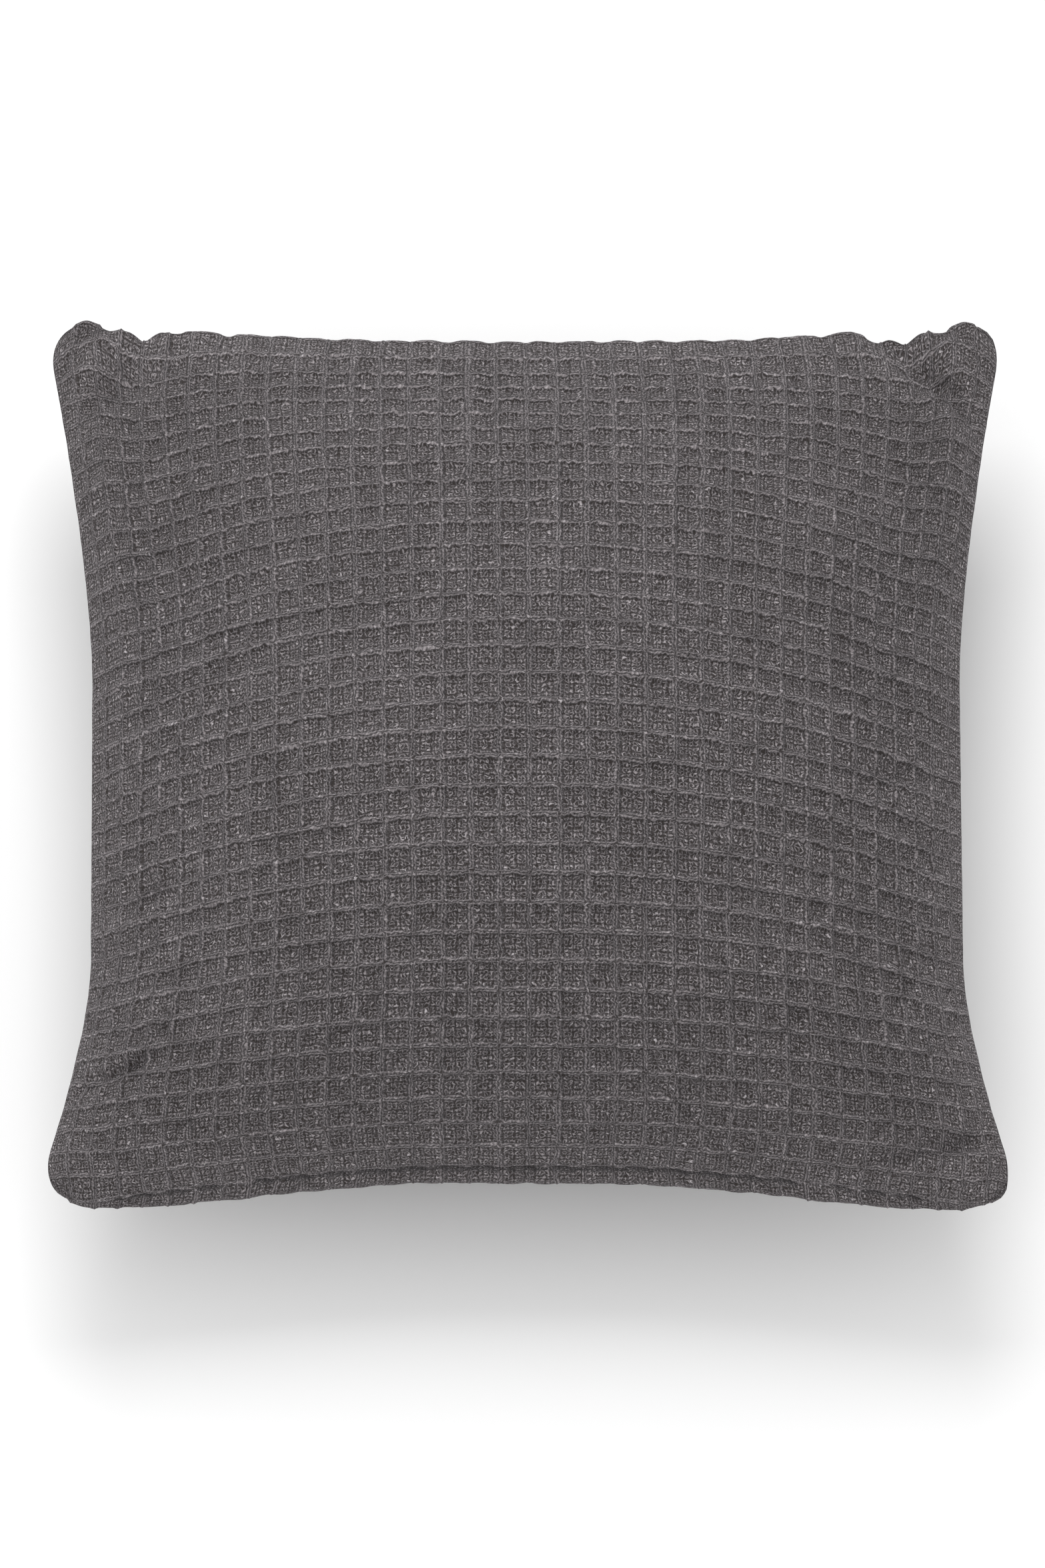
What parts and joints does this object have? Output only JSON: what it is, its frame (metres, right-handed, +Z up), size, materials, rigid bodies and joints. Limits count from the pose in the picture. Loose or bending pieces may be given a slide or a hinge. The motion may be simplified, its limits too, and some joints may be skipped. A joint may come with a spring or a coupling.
{
  "type": "throw pillow",
  "caption": "Square throw pillow: a honeycomb-weave cotton cover with a zipped side seam, over a stuffed insert in a plain case.",
  "frame": {"origin": "on the surface that the pillow lies on, under its middle", "axes": "+Z up out of the front panel, +Y towards the side seam that holds the zip, +X along that seam"},
  "size_m": [0.437, 0.437, 0.178],
  "materials": {
    "cover_cloth": "matt charcoal grey cotton in a deep honeycomb weave",
    "sewing_thread": "dark grey spun thread",
    "zip_tape": "dark grey woven tape",
    "zip_teeth": "dark grey nylon",
    "zip_metal": "dark grey lacquered metal, slightly worn",
    "label_cloth": "off-white satin ribbon, blank",
    "ticking": "off-white plain cotton",
    "ticking_thread": "white spun thread",
    "fibre": "white polyester fibre"
  },
  "bodies": {
    "cushion": {"cover_front_panel": "cover_cloth", "cover_back_panel": "cover_cloth", "cover_seam_thread": "sewing_thread", "cover_overlock_thread": "sewing_thread", "zip_tape_front": "zip_tape", "zip_tape_back": "zip_tape", "zip_teeth_front": "zip_teeth", "zip_teeth_back": "zip_teeth", "zip_stitching_front": "sewing_thread", "zip_stitching_back": "sewing_thread", "zip_top_stop": "zip_metal", "zip_bottom_stop": "zip_metal", "care_label": "label_cloth", "insert_front_ticking": "ticking", "insert_back_ticking": "ticking", "insert_seam_thread": "ticking_thread", "fibre_filling": "fibre"},
    "slider": {"zip_slider": "zip_metal"},
    "pull": {"zip_pull": "zip_metal"}
  },
  "joints": [
    {"name": "zip_slide", "type": "slide", "parent": "cushion", "child": "slider", "axis": [-1, 0, 0], "range_m": [0, 0.302]},
    {"name": "pull_hinge", "type": "hinge", "parent": "slider", "child": "pull", "pos_m": [0.152, 0.2069, 0.08], "axis": [0, 0, 1], "range_deg": [-180, 0]}
  ]
}
